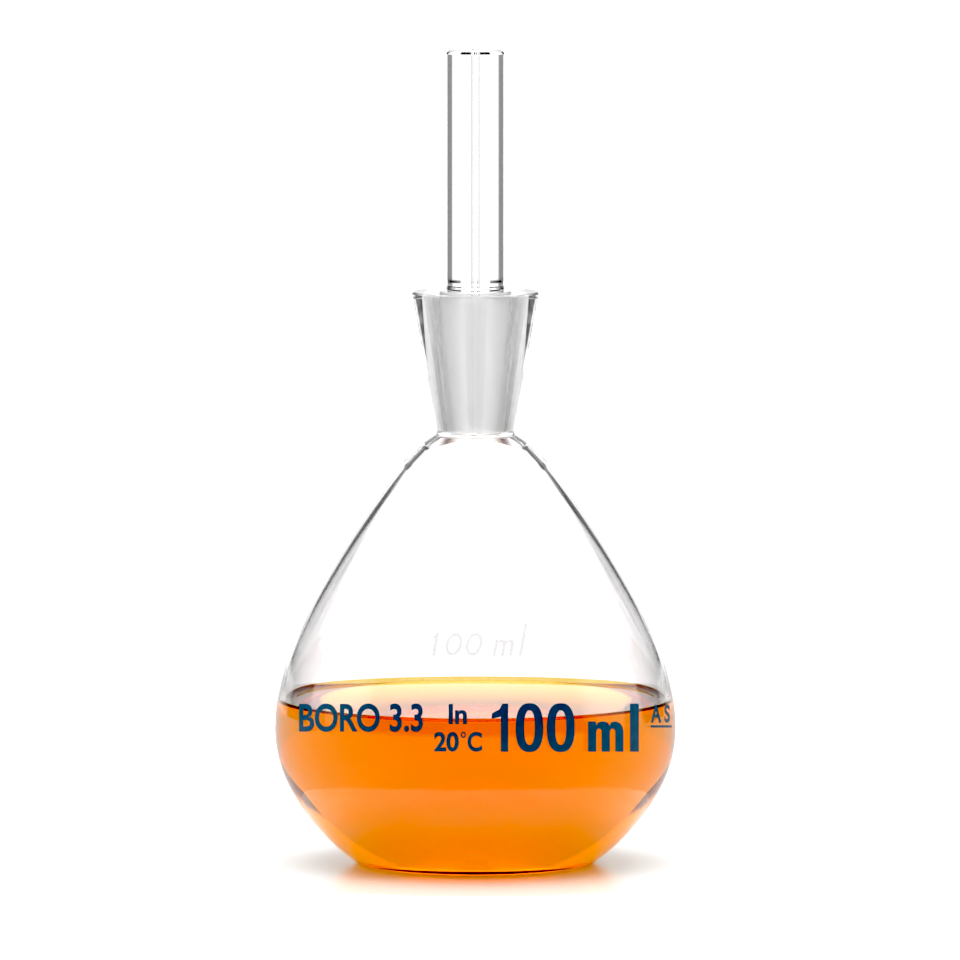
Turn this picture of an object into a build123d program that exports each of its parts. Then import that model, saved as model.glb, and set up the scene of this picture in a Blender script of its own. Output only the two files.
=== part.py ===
from build123d import *
import os

# A density bottle (Gay-Lussac pycnometer) for 100 ml: a thin glass flask with a ground socket in its
# neck, a one-piece glass stopper with a capillary bore right through it, and the liquid in the flask.
# Every piece is turned about the Z axis. The origin is the centre of the foot, +Z points up through
# the neck, and all sizes are in millimetres.

# ---- Flask bulb ------------------------------------------------------------------------------------
# Its outline is a run of tangent arcs that start at the widest circle. Each arc is (radius, degrees).
BULB_R = 29.6
BULB_WIDEST_Z = 19.95
OUTER_UPPER_ARCS = ((27.2, 13.6), (54.4, 14.7), (142.0, 9.4), (4.4, 7.4))
OUTER_LOWER_ARCS = ((18.5, 26.7), (30.8, 34.0))  # the last arc runs past the foot plane, which cuts it
FOOT_ROUNDING = 2.0
BEAD_R = 8.2  # the low bead on the shoulder, where the bulb was sealed to the neck
BEAD_ROUNDING = 1.5

# The wall is thin round the belly and thickens towards the neck, so the inside has upper arcs of its own.
WALL = 1.0
INNER_UPPER_ARCS = ((33.7, 27.1), (126.3, 12.3), (15.0, 4.5))
FLOOR_THICKNESS = 1.3
FLOOR_ROUNDING = 3.0

# ---- Neck and its ground socket, a 1:10 taper near the standard 10/19 joint -----------------------------
RIM_Z = 84.6
RIM_R = 9.43
RIM_ROUNDING = 0.35
NECK_WAIST_R = 5.6
NECK_WAIST_Z = 63.6
NECK_FILLET = 1.0
SOCKET_R = 5.35  # at the rim
JOINT_SLOPE = 0.05  # radius lost per millimetre down the joint
SOCKET_BOTTOM_Z = 63.9
THROAT_FILLET = 1.2
MOUTH_CHAMFER = 0.25

# ---- Stopper -----------------------------------------------------------------------------------------
JOINT_CLEARANCE = 0.02  # radial, between the ground faces
STOPPER_BOTTOM_Z = 64.2
STOPPER_SHOULDER_Z = 84.7  # top of the ground cone, where the stem begins
STOPPER_EDGE = 0.3  # rounding of the cone's two ends
STEM_R = 4.31
STEM_TOP_Z = 120.3
STEM_TOP_ROUNDING = 0.8
STEM_ROOT_R = 3.95  # where the stem meets the cone's top
STEM_SWELL = (4.27, 85.05)  # radius and height of the slight swelling over the root
STEM_WAIST = (4.21, 85.8)  # of the slight narrowing over the swelling
STEM_FULL_Z = 86.6  # where the stem has its full radius
CAPILLARY_R = 0.44
CAPILLARY_FLARE = 0.25  # chamfer at both ends of the bore

# ---- Liquid --------------------------------------------------------------------------------------------
LIQUID_LEVEL = 23.7
MENISCUS_R = 1.6
MENISCUS_TURN = 72.0  # degrees, from the level surface up to the glass
LIQUID_GAP = 0.03  # keeps the liquid's solid just off the glass

MARGIN = 5.0  # how far the cutting shapes reach past what they cut


def tangent_arcs(start, direction, arcs, side=1):
    """Arcs that run on smoothly from each other, turning left for side=1 and right for side=-1."""
    edges = []
    for radius, turn in arcs:
        edges.append(JernArc(start, direction, radius, side * turn))
        start, direction = edges[-1] @ 1, edges[-1] % 1
    return edges


def bulb_arcs(radius, upper_arcs, lower_arcs):
    """The bulb's outline from its lowest point up to its shoulder, as one run of edges."""
    widest = (radius, BULB_WIDEST_Z)
    upper = tangent_arcs(widest, (0, 1), upper_arcs)
    lower = tangent_arcs(widest, (0, -1), lower_arcs, side=-1)
    return lower[::-1] + upper


def line_to_radius(edge, radius):
    """A straight line that carries on from the end of an edge until it is at a radius."""
    start, direction = edge @ 1, edge % 1
    return Line(start, start + direction * ((radius - start.X) / direction.X))


def face_to_axis(edges, *corners):
    """The face between a run of edges, the corners that follow it, and the axis."""
    first = edges[0] @ 0 if (edges[0] @ 0).Y < (edges[0] @ 1).Y else edges[0] @ 1
    last = Vector(*corners[-1])
    outline = [Polyline((edges[-1] @ 1), *corners, (0, last.Y), (0, first.Y), first)]
    return make_face(edges + outline)


def rounded(face, corner, radius):
    """The face with its vertex nearest to a corner rounded off."""
    vertex = face.vertices().sort_by_distance(Vector(*corner))[0]
    return fillet(vertex, radius)


def above(height):
    """A rectangle that covers everything above a height."""
    size = 2 * STEM_TOP_Z
    return Pos(0, height + size / 2) * Rectangle(size, size)


def turned(face):
    """The solid that a half-section makes when it turns about the Z axis."""
    return revolve(Plane.XZ * face, Axis.Z)


def flask_outside():
    """Half-section of the flask without its hollow."""
    arcs = bulb_arcs(BULB_R, OUTER_UPPER_ARCS, OUTER_LOWER_ARCS)
    shoulder = line_to_radius(arcs[-1], BEAD_R)
    waist = (NECK_WAIST_R, NECK_WAIST_Z)
    rim_edge = (RIM_R, RIM_Z)
    face = face_to_axis(arcs + [shoulder], waist, rim_edge)
    face = rounded(face, shoulder @ 1, BEAD_ROUNDING)
    face = rounded(face, waist, NECK_FILLET)
    face = rounded(face, rim_edge, RIM_ROUNDING)
    face &= above(0)
    foot_edge = face.vertices().filter_by_position(Axis.Y, -0.01, 0.01).sort_by(Axis.X)[-1]
    return fillet(foot_edge, FOOT_ROUNDING)


def socket_radius(height):
    """Radius of the ground socket at a height."""
    return SOCKET_R - JOINT_SLOPE * (RIM_Z - height)


def flask_hollow(gap=0.0):
    """Half-section of the flask's hollow, drawn in by a gap all round."""
    inner = [(radius - gap, turn) for radius, turn in INNER_UPPER_ARCS]
    lower = [(radius - WALL - gap, turn) for radius, turn in OUTER_LOWER_ARCS]
    arcs = bulb_arcs(BULB_R - WALL - gap, inner, lower)
    shoulder = line_to_radius(arcs[-1], socket_radius(SOCKET_BOTTOM_Z) - gap)
    mouth = (socket_radius(RIM_Z + MARGIN) - gap, RIM_Z + MARGIN)
    face = face_to_axis(arcs + [shoulder], mouth)
    face = rounded(face, shoulder @ 1, THROAT_FILLET)
    floor = FLOOR_THICKNESS + gap
    face &= above(floor)
    floor_edge = face.vertices().filter_by_position(Axis.Y, floor - 0.01, floor + 0.01).sort_by(Axis.X)[-1]
    return fillet(floor_edge, FLOOR_ROUNDING)


def flask_body():
    """The flask: bulb, flared neck and ground socket, all one piece of glass."""
    face = flask_outside() - flask_hollow()
    mouth = face.vertices().sort_by_distance(Vector(SOCKET_R, RIM_Z))[0]
    return turned(chamfer(mouth, MOUTH_CHAMFER))


def stopper():
    """The stopper: ground cone and capillary stem, all one piece of glass, with a bore right through."""
    cone_top = (socket_radius(STOPPER_SHOULDER_Z) - JOINT_CLEARANCE, STOPPER_SHOULDER_Z)
    cone_bottom = (socket_radius(STOPPER_BOTTOM_Z) - JOINT_CLEARANCE, STOPPER_BOTTOM_Z)
    root = (STEM_ROOT_R, STOPPER_SHOULDER_Z)
    full_stem = (STEM_R, STEM_FULL_Z)
    stem_top = (STEM_R, STEM_TOP_Z)
    outline = [
        Polyline((0, STOPPER_BOTTOM_Z), cone_bottom, cone_top, root),
        Spline(root, STEM_SWELL, STEM_WAIST, full_stem, tangents=((1, 0.2), (0, 1))),
        Polyline(full_stem, stem_top, (0, STEM_TOP_Z), (0, STOPPER_BOTTOM_Z)),
    ]
    face = make_face(outline)
    face = rounded(face, stem_top, STEM_TOP_ROUNDING)
    face = rounded(face, cone_top, STOPPER_EDGE)
    face = rounded(face, cone_bottom, STOPPER_EDGE)
    body = turned(face)
    bore_length = STEM_TOP_Z - STOPPER_BOTTOM_Z
    body -= Pos(0, 0, STOPPER_BOTTOM_Z + bore_length / 2) * Cylinder(CAPILLARY_R, bore_length + MARGIN)
    bore_ends = body.edges().filter_by(GeomType.CIRCLE).filter_by(lambda e: e.radius < CAPILLARY_R * 1.5)
    return chamfer(bore_ends, CAPILLARY_FLARE)


def sample_liquid():
    """The liquid: the lower part of the hollow, with a meniscus that climbs the glass."""
    hollow = flask_hollow(LIQUID_GAP)
    wall_r = BULB_R - WALL - LIQUID_GAP
    flat_r = wall_r - MENISCUS_R
    climb = JernArc((flat_r, LIQUID_LEVEL), (1, 0), MENISCUS_R, MENISCUS_TURN)
    top = climb @ 1
    outline = [
        Polyline((0, 0), (0, LIQUID_LEVEL), (flat_r, LIQUID_LEVEL)),
        climb,
        Polyline(top, (top.X + MARGIN, top.Y), (top.X + MARGIN, 0), (0, 0)),
    ]
    return turned(hollow & make_face(outline))


PARTS = {"flask_body": flask_body, "stopper": stopper, "sample_liquid": sample_liquid}

os.makedirs("parts", exist_ok=True)
for name, make in PARTS.items():
    export_step(make(), f"parts/{name}.step")
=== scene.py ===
import math

import bmesh
import bpy
import numpy as np
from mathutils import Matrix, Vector


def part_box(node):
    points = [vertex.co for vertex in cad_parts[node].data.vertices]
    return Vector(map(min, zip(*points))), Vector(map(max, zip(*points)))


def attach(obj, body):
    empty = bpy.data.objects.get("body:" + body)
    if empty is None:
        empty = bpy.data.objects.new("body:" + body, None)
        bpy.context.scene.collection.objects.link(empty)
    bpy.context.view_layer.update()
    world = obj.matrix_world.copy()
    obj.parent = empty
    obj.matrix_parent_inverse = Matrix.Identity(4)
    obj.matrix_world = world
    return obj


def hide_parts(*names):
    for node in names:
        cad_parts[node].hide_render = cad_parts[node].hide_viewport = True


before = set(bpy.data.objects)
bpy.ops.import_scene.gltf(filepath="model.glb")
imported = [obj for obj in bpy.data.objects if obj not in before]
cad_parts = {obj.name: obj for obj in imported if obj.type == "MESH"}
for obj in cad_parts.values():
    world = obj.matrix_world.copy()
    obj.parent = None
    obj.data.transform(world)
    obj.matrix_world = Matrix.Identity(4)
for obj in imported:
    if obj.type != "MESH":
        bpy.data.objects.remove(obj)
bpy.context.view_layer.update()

# A 100 ml density bottle: clear glass flask with a ground socket, one-piece stopper with a capillary,
# orange liquid, and markings fired and etched on the front. Outlines are half-sections in millimetres,
# each point (distance from the Z axis, height), and every piece of glass is such an outline turned
# about the axis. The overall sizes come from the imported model's boxes.

MM = 0.001
TURN_SEGMENTS = 256
ARC_STEP = math.radians(2.5)
LONGEST_STEP = 1.2  # of a curved stretch of outline, in millimetres
SWELL_STEPS = 5
EASE_STEPS = 6
SHARP_ANGLE = math.radians(24)
ON_AXIS = 1e-6  # a point nearer to the axis than this is a single one


def node_box(node):
    """Lowest and highest corner of a CAD node, in millimetres."""
    low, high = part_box(node)
    return low / MM, high / MM


_, FLASK_HIGH = node_box("flask_body")
STOPPER_LOW, STOPPER_HIGH = node_box("stopper")

# ---- Flask, outside and inside ------------------------------------------------------------------
BULB_R = FLASK_HIGH.x
BULB_WIDEST_Z = 19.95
OUTER_UPPER_ARCS = ((27.2, 13.6), (54.4, 14.7), (142.0, 9.4), (4.4, 7.4))  # (radius, degrees)
OUTER_LOWER_ARCS = ((18.5, 26.7), (30.8, 34.0))
FOOT_ROUNDING = 2.0
BEAD_R = 8.2
BEAD_ROUNDING = 1.5
WALL = 1.0
INNER_UPPER_ARCS = ((33.7, 27.1), (126.3, 12.3), (15.0, 4.5))
FLOOR_THICKNESS = 1.3
FLOOR_ROUNDING = 3.0
RIM_Z = FLASK_HIGH.z
RIM_R = 9.43
RIM_ROUNDING = 0.35
NECK_WAIST = (5.6, 63.6)
NECK_FILLET = 1.0
SOCKET_R = 5.35
JOINT_SLOPE = 0.05
SOCKET_BOTTOM_Z = 63.9
THROAT_FILLET = 1.2
MOUTH_CHAMFER = 0.25

# ---- Stopper --------------------------------------------------------------------------------------
JOINT_CLEARANCE = 0.02
STOPPER_BOTTOM_Z = STOPPER_LOW.z
STOPPER_SHOULDER_Z = 84.7
STOPPER_EDGE = 0.3
STEM_R = 4.31
STEM_TOP_Z = STOPPER_HIGH.z
STEM_TOP_ROUNDING = 0.8
STEM_ROOT_R = 3.95
STEM_SWELL = (4.29, 85.05)  # radius and height of the slight swelling over the root
STEM_WAIST = (4.265, 85.7)  # of the slight narrowing over that, shallower here than in the CAD model
STEM_FULL_Z = 86.6
CAPILLARY_R = 0.44
CAPILLARY_FLARE = 0.25

# ---- Liquid ---------------------------------------------------------------------------------------
LIQUID_LEVEL = 23.7
MENISCUS_R = 1.6
MENISCUS_TURN = 72.0
MENISCUS_EDGE = 0.05  # how far the liquid's edge on the glass lies over the end of the meniscus's arc
WETTING = 0.04  # how far the liquid's skin lies inside the glass, so that no air is left between


# ================================== Outlines ======================================================

def arc_run(start, heading, arcs, side=1):
    """Points of tangent arcs that follow each other, and the heading at their end."""
    points = [np.array(start, float)]
    for radius, turn in arcs:
        normal = side * np.array([-math.sin(heading), math.cos(heading)])
        centre = points[-1] + radius * normal
        total = math.radians(turn)
        count = max(2, math.ceil(total / ARC_STEP), math.ceil(total * radius / LONGEST_STEP))
        spoke = points[-1] - centre
        for i in range(1, count + 1):
            angle = side * total * i / count
            c, s = math.cos(angle), math.sin(angle)
            points.append(centre + np.array([c * spoke[0] - s * spoke[1], s * spoke[0] + c * spoke[1]]))
        heading += side * total
    return points, heading


def to_radius(point, heading, radius):
    """Where a straight line from a point, in a heading, is at a radius."""
    return point + np.array([math.cos(heading), math.sin(heading)]) * (radius - point[0]) / math.cos(heading)


def cut_below(points, height):
    """A rising run of points, cut off at a height."""
    kept = [p for p in points if p[1] > height]
    below = [p for p in points if p[1] <= height][-1]
    share = (height - below[1]) / (kept[0][1] - below[1])
    return [below + (kept[0] - below) * share] + kept


def rounded(points, corner, radius):
    """The outline with its corner nearest to a point rounded off by an arc."""
    points = [np.array(p, float) for p in points]
    at = min(range(len(points)), key=lambda i: np.hypot(*(points[i] - corner)))
    before, after = points[:at][::-1], points[at + 1:]
    a, b = (before[0] - points[at]), (after[0] - points[at])
    half = math.acos(np.dot(a, b) / np.hypot(*a) / np.hypot(*b)) / 2
    reach = radius / math.tan(half)

    def walk(run):
        """The point at a distance of reach along a run from the corner, and what is left of the run."""
        left, here = reach, points[at]
        for i, p in enumerate(run):
            step = np.hypot(*(p - here))
            if step > left:
                return here + (p - here) * left / step, run[i:]
            left, here = left - step, p
        raise ValueError("no room for the rounding")

    start, head = walk(before)
    end, tail = walk(after)
    turn = math.pi - 2 * half
    bulge = points[at] * 2 - (start + end)
    bulge = bulge / np.hypot(*bulge)
    centre = (start + end) / 2 - bulge * radius * math.cos(turn / 2)
    count = max(3, math.ceil(turn / ARC_STEP))
    first = math.atan2(*(start - centre)[::-1])
    sweep = (math.atan2(*(end - centre)[::-1]) - first + math.pi) % (2 * math.pi) - math.pi
    arc = [
        centre + radius * np.array([math.cos(first + sweep * i / count), math.sin(first + sweep * i / count)])
        for i in range(count + 1)
    ]
    return head[::-1] + arc + tail


def bulb_run(radius, upper_arcs, lower_arcs):
    """A bulb's outline from its lowest point up to its shoulder, and the heading there."""
    upper, heading = arc_run((radius, BULB_WIDEST_Z), math.pi / 2, upper_arcs)
    lower, _ = arc_run((radius, BULB_WIDEST_Z), -math.pi / 2, lower_arcs, side=-1)
    return lower[::-1] + upper[1:], heading


def socket_radius(height):
    """Radius of the ground socket at a height."""
    return SOCKET_R - JOINT_SLOPE * (RIM_Z - height)


def flask_outside():
    """Outline of the flask's outer surface, from the middle of the foot to the rim's outer edge."""
    run, heading = bulb_run(BULB_R, OUTER_UPPER_ARCS, OUTER_LOWER_ARCS)
    run = cut_below(run, 0)
    foot_edge = run[0]
    bead = to_radius(run[-1], heading, BEAD_R)
    rim_edge = (RIM_R, RIM_Z)
    points = [(0, 0)] + run + [bead, NECK_WAIST, rim_edge, (SOCKET_R, RIM_Z)]
    points = rounded(points, foot_edge, FOOT_ROUNDING)
    points = rounded(points, bead, BEAD_ROUNDING)
    points = rounded(points, NECK_WAIST, NECK_FILLET)
    return rounded(points, rim_edge, RIM_ROUNDING)[:-1]


def flask_inside(grow=0.0):
    """Outline of the flask's hollow, from its floor's middle up to the socket, moved outwards by grow."""
    inner = [(radius + grow, turn) for radius, turn in INNER_UPPER_ARCS]
    lower = [(radius - WALL + grow, turn) for radius, turn in OUTER_LOWER_ARCS]
    run, heading = bulb_run(BULB_R - WALL + grow, inner, lower)
    floor = FLOOR_THICKNESS - grow
    run = cut_below(run, floor)
    floor_edge = run[0]
    throat = to_radius(run[-1], heading, socket_radius(SOCKET_BOTTOM_Z))
    mouth_z = RIM_Z - MOUTH_CHAMFER
    points = [(0, floor)] + run + [throat, (socket_radius(mouth_z), mouth_z)]
    points = rounded(points, floor_edge, FLOOR_ROUNDING)
    return rounded(points, throat, THROAT_FILLET)


def eased(a, b):
    """Points of a gentle curve that leaves one point and reaches the next straight up."""
    across, up = b[0] - a[0], b[1] - a[1]
    return [
        (a[0] + across * (1 - math.cos(math.pi * i / EASE_STEPS)) / 2, a[1] + up * i / EASE_STEPS)
        for i in range(1, EASE_STEPS + 1)
    ]


def stopper_outline():
    """Outline of the stopper, from its bore at the bottom round to its bore at the top."""
    cone_top = (socket_radius(STOPPER_SHOULDER_Z) - JOINT_CLEARANCE, STOPPER_SHOULDER_Z)
    cone_bottom = (socket_radius(STOPPER_BOTTOM_Z) - JOINT_CLEARANCE, STOPPER_BOTTOM_Z)
    full_stem = (STEM_R, STEM_FULL_Z)
    stem_top = (STEM_R, STEM_TOP_Z)
    flare_r = CAPILLARY_R + CAPILLARY_FLARE
    swell_out, swell_up = STEM_SWELL[0] - STEM_ROOT_R, STEM_SWELL[1] - STOPPER_SHOULDER_Z
    quarter = [math.pi / 2 * i / SWELL_STEPS for i in range(SWELL_STEPS + 1)]
    swelling = [
        (STEM_ROOT_R + swell_out * math.sin(a), STOPPER_SHOULDER_Z + swell_up * (1 - math.cos(a)))
        for a in quarter
    ]
    points = [(flare_r, STOPPER_BOTTOM_Z), cone_bottom, cone_top] + swelling
    points += eased(STEM_SWELL, STEM_WAIST) + eased(STEM_WAIST, full_stem)
    points += [(STEM_R, STEM_FULL_Z + 1), stem_top, (flare_r, STEM_TOP_Z)]
    points = rounded(points, cone_bottom, STOPPER_EDGE)
    points = rounded(points, cone_top, STOPPER_EDGE)
    points = rounded(points, stem_top, STEM_TOP_ROUNDING)
    bore = [(CAPILLARY_R, STEM_TOP_Z - CAPILLARY_FLARE), (CAPILLARY_R, STOPPER_BOTTOM_Z + CAPILLARY_FLARE)]
    return points + bore


def liquid_outline():
    """Outline of the liquid, from the middle of the floor up to the meniscus and back along its surface."""
    wall = flask_inside(WETTING)
    wall_r = BULB_R - WALL + WETTING
    flat_r = wall_r - MENISCUS_R
    climb, _ = arc_run((flat_r, LIQUID_LEVEL), 0, ((MENISCUS_R, MENISCUS_TURN),))
    inside = np.array(wall)
    wetted = [p for p in wall if p[1] < LIQUID_LEVEL]
    for i, p in enumerate(climb):
        if p[0] > np.interp(p[1], inside[:, 1], inside[:, 0]):
            climb = climb[:i]
            break
    edge_z = climb[-1][1] + MENISCUS_EDGE
    edge = (np.interp(edge_z, inside[:, 1], inside[:, 0]), edge_z)
    rise = [p for p in wall if LIQUID_LEVEL <= p[1] < edge_z]
    return wetted + rise + [edge] + climb[::-1] + [(0, LIQUID_LEVEL)]


# ================================== Meshes ========================================================

def turned(name, outline, closed=False):
    """A mesh made by turning an outline about the Z axis. A closed outline joins its end to its start."""
    outline = [(max(r, 0.0), z) for r, z in outline]
    angles = [2 * math.pi * i / TURN_SEGMENTS for i in range(TURN_SEGMENTS)]
    vertices, rings = [], []
    for r, z in outline:
        if r < ON_AXIS:
            rings.append([len(vertices)])
            vertices.append((0, 0, z * MM))
        else:
            rings.append(list(range(len(vertices), len(vertices) + TURN_SEGMENTS)))
            vertices += [(r * math.cos(a) * MM, r * math.sin(a) * MM, z * MM) for a in angles]
    faces = []
    pairs = list(zip(rings, rings[1:] + rings[:1] if closed else rings[1:]))
    for low, high in pairs:
        for i in range(TURN_SEGMENTS):
            j = (i + 1) % TURN_SEGMENTS
            if len(low) == 1 and len(high) == 1:
                continue
            if len(low) == 1:
                faces.append((low[0], high[j], high[i]))
            elif len(high) == 1:
                faces.append((low[i], low[j], high[0]))
            else:
                faces.append((low[i], low[j], high[j], high[i]))
    mesh = bpy.data.meshes.new(name)
    mesh.from_pydata(vertices, [], faces)
    mesh.shade_smooth()
    mesh.set_sharp_from_angle(angle=SHARP_ANGLE)
    piece = bpy.data.objects.new(name, mesh)
    bpy.context.scene.collection.objects.link(piece)
    return piece


def give_ground_faces(piece, clear, ground, is_ground):
    """Puts the ground glass on the faces whose middle passes a test, and clear glass on the rest."""
    piece.data.materials.append(clear)
    piece.data.materials.append(ground)
    for face in piece.data.polygons:
        x, y, z = face.center / MM
        face.material_index = int(is_ground(math.hypot(x, y), z))


# ================================== Materials =====================================================

def new_material(name):
    """A new node material, its node tree and its Principled shader."""
    material = bpy.data.materials.new(name)
    material.use_nodes = True
    tree = material.node_tree
    return material, tree, tree.nodes["Principled BSDF"]


def noise(tree, scale, detail=4.0):
    """A noise texture over the piece's own coordinates, in metres."""
    where = tree.nodes.new("ShaderNodeTexCoord")
    texture = tree.nodes.new("ShaderNodeTexNoise")
    texture.inputs["Scale"].default_value = scale
    texture.inputs["Detail"].default_value = detail
    tree.links.new(where.outputs["Object"], texture.inputs["Vector"])
    return texture


def spread(tree, source, low, high):
    """A texture's middle values spread to a range."""
    node = tree.nodes.new("ShaderNodeMapRange")
    node.inputs["From Min"].default_value = 0.3
    node.inputs["From Max"].default_value = 0.7
    node.inputs["To Min"].default_value = low
    node.inputs["To Max"].default_value = high
    tree.links.new(source, node.inputs["Value"])
    return node.outputs["Result"]


def bump(tree, shader, source, strength, distance):
    """Bumps a shader by a texture's height, in metres."""
    node = tree.nodes.new("ShaderNodeBump")
    node.inputs["Strength"].default_value = strength
    node.inputs["Distance"].default_value = distance
    tree.links.new(source, node.inputs["Height"])
    tree.links.new(node.outputs["Normal"], shader.inputs["Normal"])


GLASS_IOR = 1.473
GLASS_WAVES = (0.05, 0.0002)  # strength and depth in metres of the waviness of blown glass
LIQUID_IOR = 1.333
LIQUID_CLARITY = 0.985  # the rest of the light is scattered by the dye
DYE_SURFACE = (1, 0.78, 0.22, 1)
DYE_DEPTH = (1.0, 0.79, 0.0, 1)
DYE_DENSITY = 110.0


def clear_glass():
    """Fire-polished borosilicate glass, very slightly wavy."""
    material, tree, shader = new_material("clear_glass")
    shader.inputs["Base Color"].default_value = (1, 1, 1, 1)
    shader.inputs["Roughness"].default_value = 0.0
    shader.inputs["IOR"].default_value = GLASS_IOR
    shader.inputs["Transmission Weight"].default_value = 1.0
    waves = noise(tree, 80.0, detail=2.0)
    bump(tree, shader, waves.outputs["Fac"], *GLASS_WAVES)
    return material


def ground_glass():
    """Ground glass of the joint: fine-grained and matt."""
    material, tree, shader = new_material("ground_glass")
    shader.inputs["Base Color"].default_value = (0.97, 0.97, 0.97, 1)
    shader.inputs["IOR"].default_value = GLASS_IOR
    shader.inputs["Transmission Weight"].default_value = 1.0
    grain = noise(tree, 2500.0)
    tree.links.new(spread(tree, grain.outputs["Fac"], 0.45, 0.6), shader.inputs["Roughness"])
    return material


def liquid():
    """Clear orange liquid, coloured by its depth."""
    material, tree, shader = new_material("orange_liquid")
    shader.inputs["Base Color"].default_value = DYE_SURFACE
    shader.inputs["Roughness"].default_value = 0.0
    shader.inputs["IOR"].default_value = LIQUID_IOR
    shader.inputs["Transmission Weight"].default_value = LIQUID_CLARITY
    volume = tree.nodes.new("ShaderNodeVolumeAbsorption")
    volume.inputs["Color"].default_value = DYE_DEPTH
    volume.inputs["Density"].default_value = DYE_DENSITY
    tree.links.new(volume.outputs["Volume"], tree.nodes["Material Output"].inputs["Volume"])
    return material


def pale_floor():
    """Satin white studio floor."""
    material, _, shader = new_material("studio_floor")
    shader.inputs["Base Color"].default_value = (0.9, 0.9, 0.9, 1)
    shader.inputs["Roughness"].default_value = 0.2
    shader.inputs["Specular IOR Level"].default_value = 0.8
    return material


# ================================== Object ========================================================

CLEAR, GROUND = clear_glass(), ground_glass()
GROUND_REACH = 0.1  # how far from the joint's cone the middle of a ground face may be


def make_flask():
    """The flask, clear but for its ground socket."""
    piece = turned("flask_glass", flask_outside() + flask_inside()[::-1])

    def is_ground(r, z):
        in_socket = SOCKET_BOTTOM_Z < z < RIM_Z - MOUTH_CHAMFER
        return in_socket and abs(r - socket_radius(z)) < GROUND_REACH

    give_ground_faces(piece, CLEAR, GROUND, is_ground)
    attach(piece, "flask")
    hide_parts("flask_body")


def make_stopper():
    """The stopper, clear but for its ground cone."""
    piece = turned("stopper_glass", stopper_outline(), closed=True)

    def is_ground(r, z):
        on_cone = STOPPER_BOTTOM_Z + STOPPER_EDGE < z < STOPPER_SHOULDER_Z - STOPPER_EDGE
        return on_cone and abs(r - socket_radius(z)) < GROUND_REACH

    give_ground_faces(piece, CLEAR, GROUND, is_ground)
    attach(piece, "stopper")
    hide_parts("stopper")


def make_liquid():
    """The liquid in the flask."""
    piece = turned("orange_liquid", liquid_outline())
    piece.data.materials.append(liquid())
    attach(piece, "flask")
    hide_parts("sample_liquid")


make_flask()
make_stopper()
make_liquid()


# ================================== Markings ======================================================
# They are drawn flat as they look from the reading point, x across from the axis and v up from the
# middle of the foot in millimetres, then cast from that point onto the front of the bulb.

READING_POINT = np.array((0, -1910.0, 231.1))
READING_TILT = math.radians(5.2)
MARK_HEIGHT = 0.03  # of the enamel over the glass
MARK_GRAIN = 0.5  # longest edge of its faces, so that they follow the bulb
MARK_SPLITS = 6  # the most times that longer edges are halved
MARK_MERGE = 0.002  # corners nearer to each other than this become one
CAST_START = 0.97  # share of the way to the flat drawing from where the bulb is looked for
CAST_HALVINGS = 40
CAST_LOWEST = 1.0  # the foot, under this height, isn't cast onto
SLOPE_REACH = 0.5  # up and down from a point, to find the bulb's slope there

# (text, left, right, bottom, top, weight)
NAVY_TEXTS = (
    ("BORO 3.3", -26.06, -7.73, 19.2, 23.4, 0.025),
    ("In", -3.94, -1.24, 20.35, 23.34, 0.03),
    ("20", -6.09, -2.45, 16.29, 19.21, 0.03),
    ("o", -2.15, -1.4, 18.3, 19.25, 0.02),
    ("C", -1.15, 1.0, 16.29, 19.21, 0.03),
    ("A", 25.9, 27.5, 20.57, 23.23, 0.03),
    ("S", 27.95, 28.75, 20.57, 23.23, 0.03),
)
CLASS_RULE = (25.9, 29.0, 19.85, 20.2)  # under the last two letters

# The large "100 ml"
CAPACITY_LOW, CAPACITY_HIGH, CAPACITY_X_HIGH = 16.29, 23.39, 20.75
CAPACITY_STROKE = 1.22
CAPACITY_ONE = (2.43, 4.85)
CAPACITY_NOUGHTS = ((5.97, 10.04), (10.56, 14.68))
CAPACITY_M = (16.65, 21.89)
CAPACITY_L = (22.85, 24.15)

# The small etched "100 ml"
ETCH_LOW, ETCH_HIGH, ETCH_X_HIGH, ETCH_L_HIGH = 30.47, 33.85, 32.83, 35.15
ETCH_STROKE = 0.42
ETCH_SLANT = 0.18
ETCH_ONE = (-6.75, -5.98)
ETCH_NOUGHTS = ((-4.67, -2.27), (-1.69, 0.71))
ETCH_M = (2.55, 5.4)
ETCH_L_LEFT = 6.42


def flat_text(text, weight):
    """Flat letters as a mesh in the x and y of its own plane."""
    curve = bpy.data.curves.new("letters", "FONT")
    curve.body = text
    curve.offset = weight
    return flat_mesh(curve)


def flat_loops(loops):
    """Flat closed loops as a mesh; a loop inside another is a hole in it."""
    curve = bpy.data.curves.new("loops", "CURVE")
    curve.dimensions = "2D"
    curve.fill_mode = "BOTH"
    for loop in loops:
        spline = curve.splines.new("POLY")
        spline.points.add(len(loop) - 1)
        for point, (x, v) in zip(spline.points, loop):
            point.co = (x, v, 0, 1)
        spline.use_cyclic_u = True
    return flat_mesh(curve)


def flat_mesh(curve):
    """The filled faces of a flat curve."""
    holder = bpy.data.objects.new("flat", curve)
    bpy.context.scene.collection.objects.link(holder)
    mesh = bpy.data.meshes.new_from_object(holder.evaluated_get(bpy.context.evaluated_depsgraph_get()))
    bpy.data.objects.remove(holder)
    return mesh


def fit(mesh, left, right, bottom, top):
    """Stretches a flat mesh to fill a rectangle."""
    points = np.array([v.co[:2] for v in mesh.vertices])
    low, high = points.min(axis=0), points.max(axis=0)
    for vertex in mesh.vertices:
        share = (np.array(vertex.co[:2]) - low) / (high - low)
        vertex.co = (left + (right - left) * share[0], bottom + (top - bottom) * share[1], 0)
    return mesh


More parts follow.
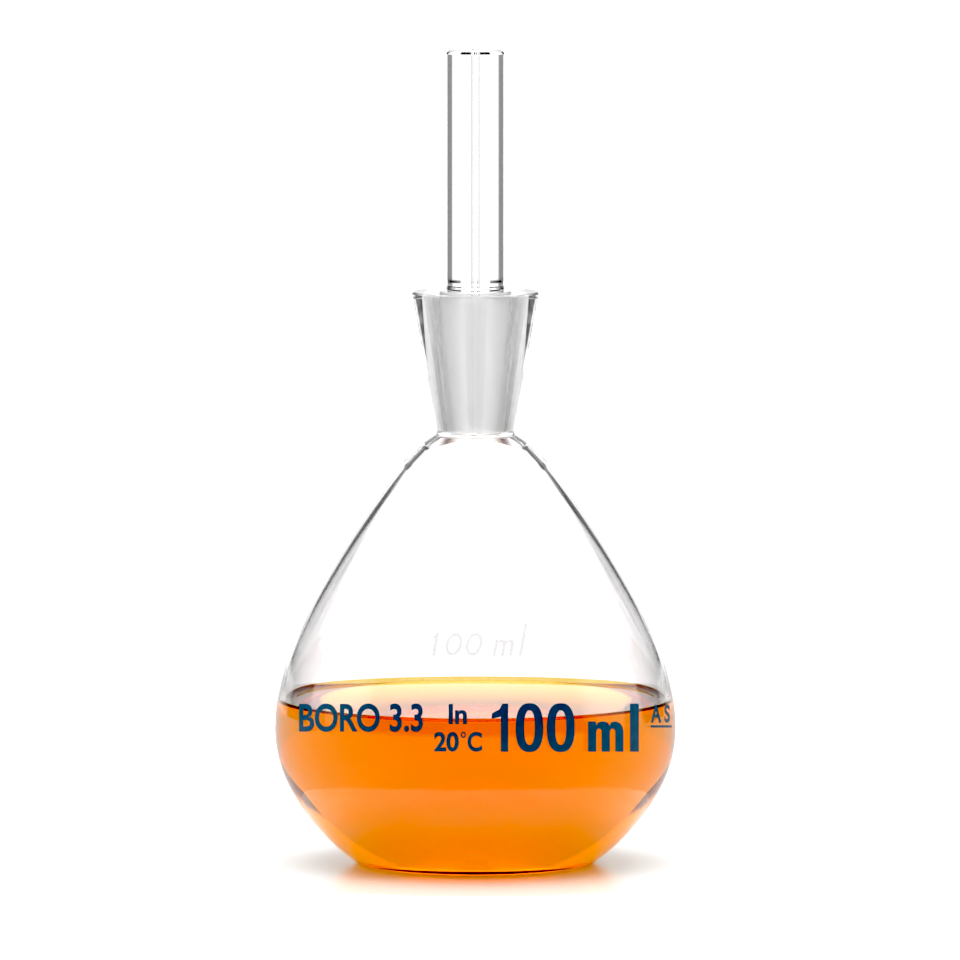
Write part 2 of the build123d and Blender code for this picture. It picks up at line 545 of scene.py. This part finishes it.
def oval(left, right, bottom, top, power=2.0):
    """A closed loop: an oval, squarer for a higher power."""
    rx, rv = (right - left) / 2, (top - bottom) / 2
    turn = [2 * math.pi * i / 48 for i in range(48)]

    def bow(value):
        return math.copysign(abs(value) ** (2 / power), value)

    return [(left + rx + rx * bow(math.cos(a)), bottom + rv + rv * bow(math.sin(a))) for a in turn]


def bar(left, right, bottom, top):
    """A closed loop: an upright rectangle."""
    return [(left, bottom), (right, bottom), (right, top), (left, top)]


def bend(centre, rx, rv, first, last):
    """Points of a stretch of an oval between two angles in degrees."""
    turn = [math.radians(first + (last - first) * i / 8) for i in range(9)]
    return [(centre[0] + rx * math.cos(a), centre[1] + rv * math.sin(a)) for a in turn]


def one(left, right, bottom, top, stroke):
    """The loop of a figure one: an upright with a flag."""
    flag = top - 1.35 * stroke
    return [
        (right - stroke, bottom), (right, bottom), (right, top), (right - 0.8 * stroke, top),
        (right - 1.2 * stroke, flag + 0.55 * stroke), (left, flag), (left, flag - 0.75 * stroke),
        (right - stroke, flag - 0.45 * stroke),
    ]


def small_m(left, right, bottom, top, stroke):
    """The loop of a small m: three uprights under two arches."""
    space = (right - left - 3 * stroke) / 2
    middle, last = left + stroke + space, right - stroke
    valley = top - 0.55 * stroke
    arch = space / 2 + 0.06 * stroke
    inside = top - 0.87 * stroke - arch
    crest, rise = middle + stroke / 2, top - valley
    first_top = (crest - 0.35 * stroke, valley)
    outline = [(left, bottom), (left, top), (left + 0.95 * stroke, top), (left + stroke, valley)]
    outline += bend(first_top, first_top[0] - left - stroke, rise, 180, 90)
    outline += bend(first_top, 0.8 * stroke, rise, 90, 0)[1:]
    outline += bend((last, valley), right - 1.55 * stroke - crest + 0.1, rise, 180, 90)[1:]
    outline += bend((last, inside), stroke, top - inside, 90, 0)[1:]
    outline += [(right, bottom), (last, bottom)]
    for low_x in (middle + stroke, left + stroke):
        outline += bend((low_x + space / 2, inside), space / 2, arch, 0, 180)
        outline += [(low_x, bottom)] + ([(low_x - stroke, bottom)] if low_x > middle else [])
    return outline


def capacity_loops():
    """The loops of the large "100 ml"."""
    bottom, top, stroke = CAPACITY_LOW, CAPACITY_HIGH, CAPACITY_STROKE
    side, crown, overshoot = stroke * 1.02, 1.0, 0.06
    loops = [one(*CAPACITY_ONE, bottom, top, stroke * 0.88)]
    for left, right in CAPACITY_NOUGHTS:
        loops.append(oval(left, right, bottom - overshoot, top + overshoot, 2.5))
        loops.append(oval(left + side, right - side, bottom + crown, top - crown, 2.4))
    loops.append(small_m(*CAPACITY_M, bottom, CAPACITY_X_HIGH, stroke))
    loops.append(bar(*CAPACITY_L, bottom, top))
    return loops


def etched_loops():
    """The loops of the small etched "100 ml", upright; it is slanted later."""
    bottom, top, stroke = ETCH_LOW, ETCH_HIGH, ETCH_STROKE
    loops = [one(*ETCH_ONE, bottom, top, stroke)]
    for left, right in ETCH_NOUGHTS:
        loops.append(oval(left, right, bottom, top))
        loops.append(oval(left + stroke, right - stroke, bottom + stroke, top - stroke))
    loops.append(small_m(*ETCH_M, bottom, ETCH_X_HIGH, stroke))
    loops.append(bar(ETCH_L_LEFT, ETCH_L_LEFT + stroke, bottom, ETCH_L_HIGH))
    return loops


def cast_onto_bulb(points, height):
    """Flat points cast from the reading point onto the bulb, in metres, at a height over the glass."""
    outline = np.array(flask_outside())
    outline = outline[outline[:, 1] > CAST_LOWEST]
    levels = outline[np.argsort(outline[:, 1])]
    up = np.array((0, math.sin(READING_TILT), math.cos(READING_TILT)))
    targets = np.array([(x, 0, 0) + v * up for x, v in points])
    rays = targets - READING_POINT
    near = np.full(len(rays), CAST_START)
    far = np.full(len(rays), 1.0)
    for _ in range(CAST_HALVINGS):
        middle = (near + far) / 2
        at = READING_POINT + rays * middle[:, None]
        outside = np.hypot(at[:, 0], at[:, 1]) > np.interp(at[:, 2], levels[:, 1], levels[:, 0])
        near, far = np.where(outside, middle, near), np.where(outside, far, middle)
    at = READING_POINT + rays * near[:, None]
    slope = np.interp(at[:, 2] + SLOPE_REACH, levels[:, 1], levels[:, 0])
    slope -= np.interp(at[:, 2] - SLOPE_REACH, levels[:, 1], levels[:, 0])
    radius = np.hypot(at[:, 0], at[:, 1])
    normal = np.stack((at[:, 0] / radius, at[:, 1] / radius, -slope), axis=1)
    normal /= np.linalg.norm(normal, axis=1)[:, None]
    return (at + normal * height) * MM


def make_marking(name, meshes, material, slant=0.0, slant_from=0.0):
    """One piece of flat meshes, cast onto the front of the bulb."""
    bm = bmesh.new()
    for mesh in meshes:
        bm.from_mesh(mesh)
    bmesh.ops.remove_doubles(bm, verts=bm.verts[:], dist=MARK_MERGE)
    bmesh.ops.triangulate(bm, faces=bm.faces[:])
    for _ in range(MARK_SPLITS):
        long = [e for e in bm.edges if e.calc_length() > MARK_GRAIN]
        if not long:
            break
        bmesh.ops.subdivide_edges(bm, edges=long, cuts=1)
        bmesh.ops.triangulate(bm, faces=bm.faces[:])
    flat = [(v.co.x + slant * (v.co.y - slant_from), v.co.y) for v in bm.verts]
    for vertex, place in zip(bm.verts, cast_onto_bulb(flat, MARK_HEIGHT)):
        vertex.co = place
    bmesh.ops.recalc_face_normals(bm, faces=bm.faces[:])
    for face in bm.faces:
        if face.normal.y > 0:
            face.normal_flip()
        face.smooth = True
    mesh = bpy.data.meshes.new(name)
    bm.to_mesh(mesh)
    bm.free()
    mesh.materials.append(material)
    piece = bpy.data.objects.new(name, mesh)
    bpy.context.scene.collection.objects.link(piece)
    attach(piece, "flask")


def navy_enamel():
    """Dark blue fired enamel, slightly mottled and grained."""
    material, tree, shader = new_material("navy_enamel")
    mottle = noise(tree, 900.0)
    ramp = tree.nodes.new("ShaderNodeMix")
    ramp.data_type = "RGBA"
    ramp.inputs["A"].default_value = (0.01, 0.066, 0.125, 1)
    ramp.inputs["B"].default_value = (0.015, 0.086, 0.165, 1)
    tree.links.new(spread(tree, mottle.outputs["Fac"], 0.0, 1.0), ramp.inputs["Factor"])
    tree.links.new(ramp.outputs["Result"], shader.inputs["Base Color"])
    grain = noise(tree, 6000.0)
    tree.links.new(spread(tree, grain.outputs["Fac"], 0.35, 0.5), shader.inputs["Roughness"])
    bump(tree, shader, grain.outputs["Fac"], 0.2, 0.00001)
    return material


def etched_mark():
    """A faint matt film where the glass is etched."""
    material, _, shader = new_material("etched_mark")
    shader.inputs["Base Color"].default_value = (0.3, 0.3, 0.3, 1)
    shader.inputs["Roughness"].default_value = 0.7
    shader.inputs["Alpha"].default_value = 0.33
    return material


def make_markings():
    """The navy lettering and the etched capacity above it."""
    flats = [fit(flat_text(text, weight), *box) for text, *box, weight in NAVY_TEXTS]
    flats.append(flat_loops([bar(*CLASS_RULE)]))
    flats.append(flat_loops(capacity_loops()))
    make_marking("navy_marking", flats, navy_enamel())
    make_marking("etched_marking", [flat_loops(etched_loops())], etched_mark(), ETCH_SLANT, ETCH_LOW)


make_markings()


# ================================== Studio ========================================================

FLOOR = pale_floor()
FLOOR_Z = -0.00002
TABLE_R = 0.12
FLOOR_R = 12
BOUNCE_R = 0.042
BOUNCE_HEIGHT = 0.022
BOUNCE_LIGHT = 1.0

# The walls' dark gaps: the angle from the nearer end of the Y axis where each begins and ends, and the
# height where it begins and ends, in degrees.
LOW_GAP = (39, 66, -11, 18)
HIGH_GAP = (20, 50, -1, 20)
UNDER_WALL = (4, 22, -34, -13)  # this and the next show up in the glass from higher up and from the corners
UNDER_SIDE = (68, 86, -34, -13)
GAP_BLUR = 2.0  # degrees
GAP_SOFT = 0.03  # the same for heights, as a sine
GAP_LIGHT = 0.25  # what is left of the light in the lower part of the low gap
GAP_LIGHT_EDGE = (0.02, 0.08)  # sine of the height where that ends, and its blur

# The dim room behind the camera: the cosine of the angle from -Y where it ends, and the sines of the
# heights where it begins and ends, each with its blur.
FRONT_EDGE = (0.35, 0.15)
FRONT_LOW = (-0.15, 0.08)
FRONT_HIGH = (0.75, 0.15)
FRONT_LIGHT = 0.1
WALL_LIGHT = 1.3
DIVIDE_GUARD = 1e-4
CEILING_EDGE = (0.88, 0.06)  # sine of the height where the ceiling begins, and its blur
CEILING_LIGHT = 4.2


def flat_ring(name, inner, outer):
    """A flat ring on the ground, or a disc where its inner radius is zero."""
    mesh = bpy.data.meshes.new(name)
    count = 128
    turn = [2 * math.pi * i / count for i in range(count)]
    rim = [(outer * math.cos(a), outer * math.sin(a), FLOOR_Z) for a in turn]
    if inner:
        hole = [(inner * math.cos(a), inner * math.sin(a), FLOOR_Z) for a in turn]
        faces = [(i, (i + 1) % count, count + (i + 1) % count, count + i) for i in range(count)]
        mesh.from_pydata(hole + rim, [], [f[::-1] for f in faces])
    else:
        mesh.from_pydata(rim, [], [tuple(range(count))])
    ring = bpy.data.objects.new(name, mesh)
    bpy.context.scene.collection.objects.link(ring)
    ring.data.materials.append(FLOOR)
    return ring


def make_floor():
    """A pale floor. Past the table it is only for the camera: the glass sees the studio there."""
    flat_ring("studio_table", 0, TABLE_R)
    far = flat_ring("studio_floor", TABLE_R, FLOOR_R)
    far.visible_transmission = False
    far.visible_glossy = False
    far.visible_diffuse = False
    far.visible_shadow = False


def make_bounce():
    """A low bright wall round the bottle, unseen by the camera, that lights the liquid from all sides."""
    count = 96
    turn = [2 * math.pi * i / count for i in range(count)]
    vertices = [
        (BOUNCE_R * math.cos(a), BOUNCE_R * math.sin(a), z) for z in (FLOOR_Z, BOUNCE_HEIGHT) for a in turn
    ]
    faces = [(i, (i + 1) % count, count + (i + 1) % count, count + i) for i in range(count)]
    mesh = bpy.data.meshes.new("studio_bounce")
    mesh.from_pydata(vertices, [], faces)
    bounce = bpy.data.objects.new("studio_bounce", mesh)
    bpy.context.scene.collection.objects.link(bounce)
    material, _, shader = new_material("studio_bounce")
    shader.inputs["Base Color"].default_value = (0, 0, 0, 1)
    shader.inputs["Specular IOR Level"].default_value = 0.0
    shader.inputs["Emission Color"].default_value = (1, 1, 1, 1)
    shader.inputs["Emission Strength"].default_value = BOUNCE_LIGHT
    mesh.materials.append(material)
    bounce.visible_camera = False
    bounce.visible_diffuse = False
    bounce.visible_shadow = False


def make_world():
    """Bright walls round the bottle with dark gaps between them, a dim room in front, a bright ceiling."""
    world = bpy.data.worlds.new("studio")
    bpy.context.scene.world = world
    world.use_nodes = True
    tree = world.node_tree
    nodes, link = tree.nodes, tree.links.new

    def maths(operation, a, b=None):
        node = nodes.new("ShaderNodeMath")
        node.operation = operation
        for socket, value in zip(node.inputs, (a, b)):
            if isinstance(value, (int, float)):
                socket.default_value = value
            elif value is not None:
                link(value, socket)
        return node.outputs[0]

    def step(value, middle, blur):
        """0 well below the middle, 1 well above it."""
        node = nodes.new("ShaderNodeMapRange")
        node.interpolation_type = "SMOOTHSTEP"
        link(value, node.inputs["Value"])
        node.inputs["From Min"].default_value = middle - blur
        node.inputs["From Max"].default_value = middle + blur
        return node.outputs["Result"]

    def times(*factors):
        product = factors[0]
        for factor in factors[1:]:
            product = maths("MULTIPLY", product, factor)
        return product

    def less(value):
        return maths("SUBTRACT", 1.0, value)

    # Generated coordinates of a world are the direction looked in. DIVIDE_GUARD keeps straight up and
    # straight down from dividing by zero.
    where = nodes.new("ShaderNodeTexCoord")
    axes = nodes.new("ShaderNodeSeparateXYZ")
    link(where.outputs["Generated"], axes.inputs[0])
    x, y, z = axes.outputs
    xx, yy = times(x, x), times(y, y)
    double = maths("DIVIDE", maths("SUBTRACT", yy, xx), maths("ADD", maths("ADD", xx, yy), DIVIDE_GUARD))
    side = maths("MULTIPLY", maths("ARCCOSINE", double), 0.5)  # angle from the Y axis, 0 to 90 degrees

    def gap(inner, outer, low, high):
        """1 in a dark gap between two angles from a wall and two heights."""
        return times(
            step(side, math.radians(inner), math.radians(GAP_BLUR)),
            less(step(side, math.radians(outer), math.radians(GAP_BLUR))),
            step(z, math.sin(math.radians(low)), GAP_SOFT),
            less(step(z, math.sin(math.radians(high)), GAP_SOFT)),
        )

    dim = maths("SUBTRACT", 1.0, maths("MULTIPLY", less(step(z, *GAP_LIGHT_EDGE)), GAP_LIGHT))
    dark = maths("MAXIMUM", times(gap(*LOW_GAP), dim), gap(*HIGH_GAP))
    dark = maths("MAXIMUM", dark, maths("MAXIMUM", gap(*UNDER_WALL), gap(*UNDER_SIDE)))
    towards_camera = step(maths("MULTIPLY", y, -1.0), *FRONT_EDGE)
    front = times(towards_camera, step(z, *FRONT_LOW), less(step(z, *FRONT_HIGH)))
    shade = times(
        less(dark),
        less(times(front, 1 - FRONT_LIGHT)),
        maths("ADD", 1.0, times(step(z, *CEILING_EDGE), CEILING_LIGHT - 1)),
    )
    background = nodes["Background"]
    background.inputs["Color"].default_value = (1, 1, 1, 1)
    link(times(shade, WALL_LIGHT), background.inputs["Strength"])


CAMERA_DISTANCE = 1.91
CAMERA_HEIGHT = 0.2311
VIEW_WIDTH = 0.1416  # at the bottle's axis
AIM = Vector((0.00068, 0, 0.0567))


def make_camera():
    """A long lens, a little above the bottle, looking along +Y."""
    data = bpy.data.cameras.new("camera")
    camera = bpy.data.objects.new("camera", data)
    bpy.context.scene.collection.objects.link(camera)
    camera.location = (AIM.x, -CAMERA_DISTANCE, CAMERA_HEIGHT)
    camera.rotation_euler = (AIM - camera.location).to_track_quat("-Z", "Y").to_euler()
    data.sensor_width = 36
    data.lens = data.sensor_width * (AIM - camera.location).length / VIEW_WIDTH
    data.clip_start, data.clip_end = 0.05, 60
    bpy.context.scene.camera = camera


make_floor()
make_bounce()
make_world()
make_camera()

BLACK_LEVEL = 0.07  # takes off the veil of studio light that the glass reflects over the liquid
scene = bpy.context.scene
scene.view_settings.view_transform = "Standard"
scene.view_settings.use_curve_mapping = True
levels = scene.view_settings.curve_mapping
levels.black_level = (BLACK_LEVEL,) * 3
levels.update()
scene.cycles.max_bounces = 32
scene.cycles.transmission_bounces = 32
scene.cycles.glossy_bounces = 12
